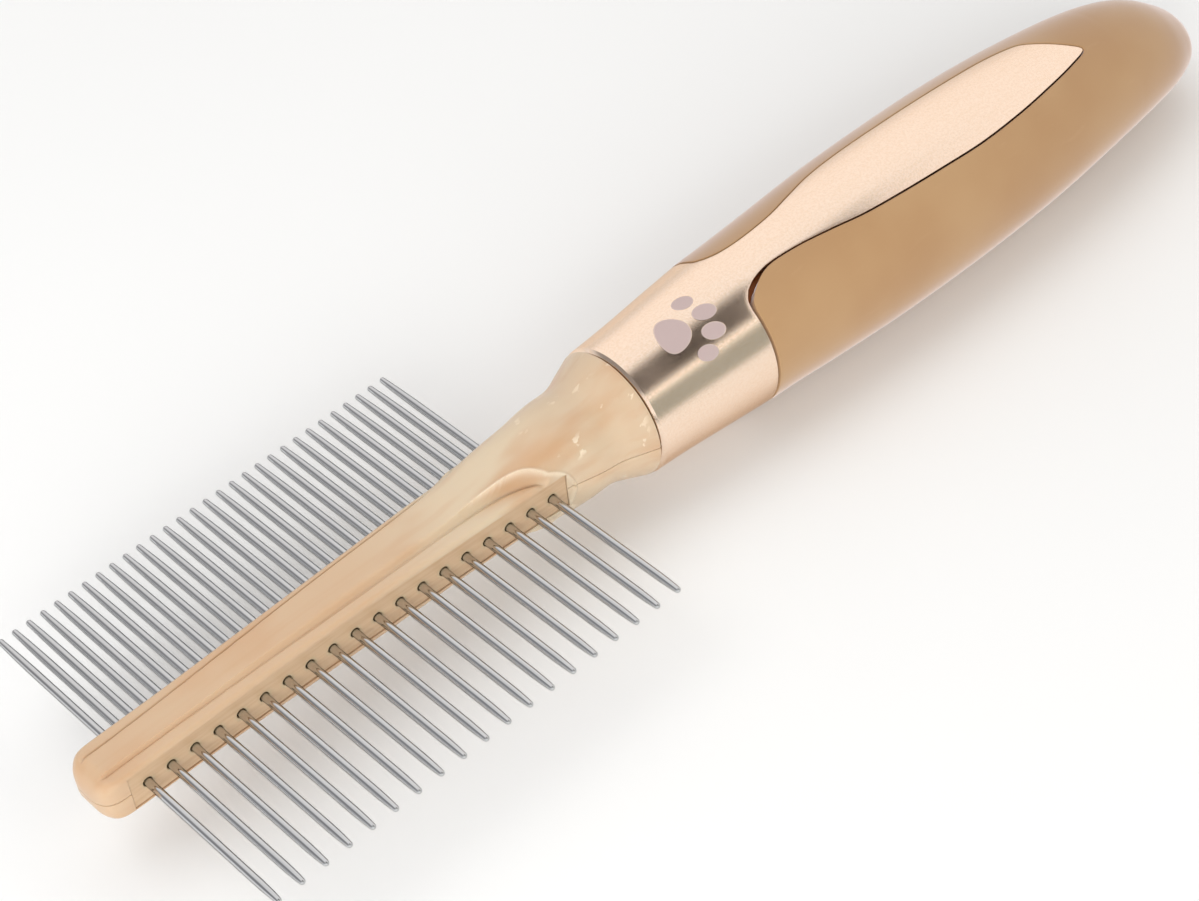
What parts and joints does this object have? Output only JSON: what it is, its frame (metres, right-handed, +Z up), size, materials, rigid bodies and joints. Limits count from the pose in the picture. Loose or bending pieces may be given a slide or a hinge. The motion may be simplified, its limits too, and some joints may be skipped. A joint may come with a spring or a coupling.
{
  "type": "dematting comb",
  "caption": "Two-sided dematting comb: a flat head with wide-set steel pins along one edge and close-set pins along the other, and a contoured rubber grip with a metal-look sleeve.",
  "frame": {"origin": "middle of the underside of the bounding box, with the plane of the pins level above it", "axes": "+X runs along the comb from the free end of the head to the butt of the handle, +Y points along the fine pins, -Y along the wide pins, +Z is up out of the face that shows the tongue"},
  "size_m": [0.2528, 0.0708, 0.0312],
  "materials": {
    "shell": "beige moulded plastic with a slight gloss, fine scratches and moulding marks",
    "carrier": "paler, slightly green beige moulded plastic",
    "core": "plain brown moulded plastic, hidden inside the handle",
    "sleeve": "satin rose-gold metallised plastic with polished edges",
    "grip": "soft-touch matt caramel rubber",
    "pin": "polished stainless steel wire, ground to a rounded tip"
  },
  "bodies": {
    "root": {"head_upper_shell": "shell", "head_lower_shell": "shell", "wide_pin_carrier": "carrier", "fine_pin_carrier": "carrier", "pin_backing_bar": "carrier", "handle_core": "core", "gold_sleeve": "sleeve", "rubber_grip": "grip"},
    "wide_pin_01": {"wide_pin_01": "pin"},
    "wide_pin_02": {"wide_pin_02": "pin"},
    "wide_pin_03": {"wide_pin_03": "pin"},
    "wide_pin_04": {"wide_pin_04": "pin"},
    "wide_pin_05": {"wide_pin_05": "pin"},
    "wide_pin_06": {"wide_pin_06": "pin"},
    "wide_pin_07": {"wide_pin_07": "pin"},
    "wide_pin_08": {"wide_pin_08": "pin"},
    "wide_pin_09": {"wide_pin_09": "pin"},
    "wide_pin_10": {"wide_pin_10": "pin"},
    "wide_pin_11": {"wide_pin_11": "pin"},
    "wide_pin_12": {"wide_pin_12": "pin"},
    "wide_pin_13": {"wide_pin_13": "pin"},
    "wide_pin_14": {"wide_pin_14": "pin"},
    "wide_pin_15": {"wide_pin_15": "pin"},
    "wide_pin_16": {"wide_pin_16": "pin"},
    "wide_pin_17": {"wide_pin_17": "pin"},
    "wide_pin_18": {"wide_pin_18": "pin"},
    "wide_pin_19": {"wide_pin_19": "pin"},
    "fine_pin_01": {"fine_pin_01": "pin"},
    "fine_pin_02": {"fine_pin_02": "pin"},
    "fine_pin_03": {"fine_pin_03": "pin"},
    "fine_pin_04": {"fine_pin_04": "pin"},
    "fine_pin_05": {"fine_pin_05": "pin"},
    "fine_pin_06": {"fine_pin_06": "pin"},
    "fine_pin_07": {"fine_pin_07": "pin"},
    "fine_pin_08": {"fine_pin_08": "pin"},
    "fine_pin_09": {"fine_pin_09": "pin"},
    "fine_pin_10": {"fine_pin_10": "pin"},
    "fine_pin_11": {"fine_pin_11": "pin"},
    "fine_pin_12": {"fine_pin_12": "pin"},
    "fine_pin_13": {"fine_pin_13": "pin"},
    "fine_pin_14": {"fine_pin_14": "pin"},
    "fine_pin_15": {"fine_pin_15": "pin"},
    "fine_pin_16": {"fine_pin_16": "pin"},
    "fine_pin_17": {"fine_pin_17": "pin"},
    "fine_pin_18": {"fine_pin_18": "pin"},
    "fine_pin_19": {"fine_pin_19": "pin"},
    "fine_pin_20": {"fine_pin_20": "pin"},
    "fine_pin_21": {"fine_pin_21": "pin"},
    "fine_pin_22": {"fine_pin_22": "pin"},
    "fine_pin_23": {"fine_pin_23": "pin"},
    "fine_pin_24": {"fine_pin_24": "pin"},
    "fine_pin_25": {"fine_pin_25": "pin"},
    "fine_pin_26": {"fine_pin_26": "pin"},
    "fine_pin_27": {"fine_pin_27": "pin"},
    "fine_pin_28": {"fine_pin_28": "pin"},
    "fine_pin_29": {"fine_pin_29": "pin"},
    "fine_pin_30": {"fine_pin_30": "pin"}
  },
  "joints": [
    {"name": "wide_pin_01_spin", "type": "hinge", "parent": "root", "child": "wide_pin_01", "pos_m": [-0.1183, -0.0042, 0.01645], "axis": [0, -1, 0], "continuous": true},
    {"name": "wide_pin_02_spin", "type": "hinge", "parent": "root", "child": "wide_pin_02", "pos_m": [-0.1139, -0.0042, 0.01645], "axis": [0, -1, 0], "continuous": true},
    {"name": "wide_pin_03_spin", "type": "hinge", "parent": "root", "child": "wide_pin_03", "pos_m": [-0.1095, -0.0042, 0.01645], "axis": [0, -1, 0], "continuous": true},
    {"name": "wide_pin_04_spin", "type": "hinge", "parent": "root", "child": "wide_pin_04", "pos_m": [-0.1051, -0.0042, 0.01645], "axis": [0, -1, 0], "continuous": true},
    {"name": "wide_pin_05_spin", "type": "hinge", "parent": "root", "child": "wide_pin_05", "pos_m": [-0.1007, -0.0042, 0.01645], "axis": [0, -1, 0], "continuous": true},
    {"name": "wide_pin_06_spin", "type": "hinge", "parent": "root", "child": "wide_pin_06", "pos_m": [-0.0963, -0.0042, 0.01645], "axis": [0, -1, 0], "continuous": true},
    {"name": "wide_pin_07_spin", "type": "hinge", "parent": "root", "child": "wide_pin_07", "pos_m": [-0.0919, -0.0042, 0.01645], "axis": [0, -1, 0], "continuous": true},
    {"name": "wide_pin_08_spin", "type": "hinge", "parent": "root", "child": "wide_pin_08", "pos_m": [-0.0875, -0.0042, 0.01645], "axis": [0, -1, 0], "continuous": true},
    {"name": "wide_pin_09_spin", "type": "hinge", "parent": "root", "child": "wide_pin_09", "pos_m": [-0.0831, -0.0042, 0.01645], "axis": [0, -1, 0], "continuous": true},
    {"name": "wide_pin_10_spin", "type": "hinge", "parent": "root", "child": "wide_pin_10", "pos_m": [-0.0787, -0.0042, 0.01645], "axis": [0, -1, 0], "continuous": true},
    {"name": "wide_pin_11_spin", "type": "hinge", "parent": "root", "child": "wide_pin_11", "pos_m": [-0.0743, -0.0042, 0.01645], "axis": [0, -1, 0], "continuous": true},
    {"name": "wide_pin_12_spin", "type": "hinge", "parent": "root", "child": "wide_pin_12", "pos_m": [-0.0699, -0.0042, 0.01645], "axis": [0, -1, 0], "continuous": true},
    {"name": "wide_pin_13_spin", "type": "hinge", "parent": "root", "child": "wide_pin_13", "pos_m": [-0.0655, -0.0042, 0.01645], "axis": [0, -1, 0], "continuous": true},
    {"name": "wide_pin_14_spin", "type": "hinge", "parent": "root", "child": "wide_pin_14", "pos_m": [-0.0611, -0.0042, 0.01645], "axis": [0, -1, 0], "continuous": true},
    {"name": "wide_pin_15_spin", "type": "hinge", "parent": "root", "child": "wide_pin_15", "pos_m": [-0.0567, -0.0042, 0.01645], "axis": [0, -1, 0], "continuous": true},
    {"name": "wide_pin_16_spin", "type": "hinge", "parent": "root", "child": "wide_pin_16", "pos_m": [-0.0523, -0.0042, 0.01645], "axis": [0, -1, 0], "continuous": true},
    {"name": "wide_pin_17_spin", "type": "hinge", "parent": "root", "child": "wide_pin_17", "pos_m": [-0.0479, -0.0042, 0.01645], "axis": [0, -1, 0], "continuous": true},
    {"name": "wide_pin_18_spin", "type": "hinge", "parent": "root", "child": "wide_pin_18", "pos_m": [-0.0435, -0.0042, 0.01645], "axis": [0, -1, 0], "continuous": true},
    {"name": "wide_pin_19_spin", "type": "hinge", "parent": "root", "child": "wide_pin_19", "pos_m": [-0.0391, -0.0042, 0.01645], "axis": [0, -1, 0], "continuous": true},
    {"name": "fine_pin_01_spin", "type": "hinge", "parent": "root", "child": "fine_pin_01", "pos_m": [-0.11768, 0.0054, 0.01645], "axis": [0, 1, 0], "continuous": true},
    {"name": "fine_pin_02_spin", "type": "hinge", "parent": "root", "child": "fine_pin_02", "pos_m": [-0.11499, 0.0054, 0.01645], "axis": [0, 1, 0], "continuous": true},
    {"name": "fine_pin_03_spin", "type": "hinge", "parent": "root", "child": "fine_pin_03", "pos_m": [-0.1123, 0.0054, 0.01645], "axis": [0, 1, 0], "continuous": true},
    {"name": "fine_pin_04_spin", "type": "hinge", "parent": "root", "child": "fine_pin_04", "pos_m": [-0.10962, 0.0054, 0.01645], "axis": [0, 1, 0], "continuous": true},
    {"name": "fine_pin_05_spin", "type": "hinge", "parent": "root", "child": "fine_pin_05", "pos_m": [-0.10693, 0.0054, 0.01645], "axis": [0, 1, 0], "continuous": true},
    {"name": "fine_pin_06_spin", "type": "hinge", "parent": "root", "child": "fine_pin_06", "pos_m": [-0.10424, 0.0054, 0.01645], "axis": [0, 1, 0], "continuous": true},
    {"name": "fine_pin_07_spin", "type": "hinge", "parent": "root", "child": "fine_pin_07", "pos_m": [-0.10155, 0.0054, 0.01645], "axis": [0, 1, 0], "continuous": true},
    {"name": "fine_pin_08_spin", "type": "hinge", "parent": "root", "child": "fine_pin_08", "pos_m": [-0.09886, 0.0054, 0.01645], "axis": [0, 1, 0], "continuous": true},
    {"name": "fine_pin_09_spin", "type": "hinge", "parent": "root", "child": "fine_pin_09", "pos_m": [-0.09618, 0.0054, 0.01645], "axis": [0, 1, 0], "continuous": true},
    {"name": "fine_pin_10_spin", "type": "hinge", "parent": "root", "child": "fine_pin_10", "pos_m": [-0.09349, 0.0054, 0.01645], "axis": [0, 1, 0], "continuous": true},
    {"name": "fine_pin_11_spin", "type": "hinge", "parent": "root", "child": "fine_pin_11", "pos_m": [-0.0908, 0.0054, 0.01645], "axis": [0, 1, 0], "continuous": true},
    {"name": "fine_pin_12_spin", "type": "hinge", "parent": "root", "child": "fine_pin_12", "pos_m": [-0.08811, 0.0054, 0.01645], "axis": [0, 1, 0], "continuous": true},
    {"name": "fine_pin_13_spin", "type": "hinge", "parent": "root", "child": "fine_pin_13", "pos_m": [-0.08542, 0.0054, 0.01645], "axis": [0, 1, 0], "continuous": true},
    {"name": "fine_pin_14_spin", "type": "hinge", "parent": "root", "child": "fine_pin_14", "pos_m": [-0.08274, 0.0054, 0.01645], "axis": [0, 1, 0], "continuous": true},
    {"name": "fine_pin_15_spin", "type": "hinge", "parent": "root", "child": "fine_pin_15", "pos_m": [-0.08005, 0.0054, 0.01645], "axis": [0, 1, 0], "continuous": true},
    {"name": "fine_pin_16_spin", "type": "hinge", "parent": "root", "child": "fine_pin_16", "pos_m": [-0.07736, 0.0054, 0.01645], "axis": [0, 1, 0], "continuous": true},
    {"name": "fine_pin_17_spin", "type": "hinge", "parent": "root", "child": "fine_pin_17", "pos_m": [-0.07467, 0.0054, 0.01645], "axis": [0, 1, 0], "continuous": true},
    {"name": "fine_pin_18_spin", "type": "hinge", "parent": "root", "child": "fine_pin_18", "pos_m": [-0.07198, 0.0054, 0.01645], "axis": [0, 1, 0], "continuous": true},
    {"name": "fine_pin_19_spin", "type": "hinge", "parent": "root", "child": "fine_pin_19", "pos_m": [-0.0693, 0.0054, 0.01645], "axis": [0, 1, 0], "continuous": true},
    {"name": "fine_pin_20_spin", "type": "hinge", "parent": "root", "child": "fine_pin_20", "pos_m": [-0.06661, 0.0054, 0.01645], "axis": [0, 1, 0], "continuous": true},
    {"name": "fine_pin_21_spin", "type": "hinge", "parent": "root", "child": "fine_pin_21", "pos_m": [-0.06392, 0.0054, 0.01645], "axis": [0, 1, 0], "continuous": true},
    {"name": "fine_pin_22_spin", "type": "hinge", "parent": "root", "child": "fine_pin_22", "pos_m": [-0.06123, 0.0054, 0.01645], "axis": [0, 1, 0], "continuous": true},
    {"name": "fine_pin_23_spin", "type": "hinge", "parent": "root", "child": "fine_pin_23", "pos_m": [-0.05854, 0.0054, 0.01645], "axis": [0, 1, 0], "continuous": true},
    {"name": "fine_pin_24_spin", "type": "hinge", "parent": "root", "child": "fine_pin_24", "pos_m": [-0.05586, 0.0054, 0.01645], "axis": [0, 1, 0], "continuous": true},
    {"name": "fine_pin_25_spin", "type": "hinge", "parent": "root", "child": "fine_pin_25", "pos_m": [-0.05317, 0.0054, 0.01645], "axis": [0, 1, 0], "continuous": true},
    {"name": "fine_pin_26_spin", "type": "hinge", "parent": "root", "child": "fine_pin_26", "pos_m": [-0.05048, 0.0054, 0.01645], "axis": [0, 1, 0], "continuous": true},
    {"name": "fine_pin_27_spin", "type": "hinge", "parent": "root", "child": "fine_pin_27", "pos_m": [-0.04779, 0.0054, 0.01645], "axis": [0, 1, 0], "continuous": true},
    {"name": "fine_pin_28_spin", "type": "hinge", "parent": "root", "child": "fine_pin_28", "pos_m": [-0.0451, 0.0054, 0.01645], "axis": [0, 1, 0], "continuous": true},
    {"name": "fine_pin_29_spin", "type": "hinge", "parent": "root", "child": "fine_pin_29", "pos_m": [-0.04242, 0.0054, 0.01645], "axis": [0, 1, 0], "continuous": true},
    {"name": "fine_pin_30_spin", "type": "hinge", "parent": "root", "child": "fine_pin_30", "pos_m": [-0.03973, 0.0054, 0.01645], "axis": [0, 1, 0], "continuous": true}
  ]
}
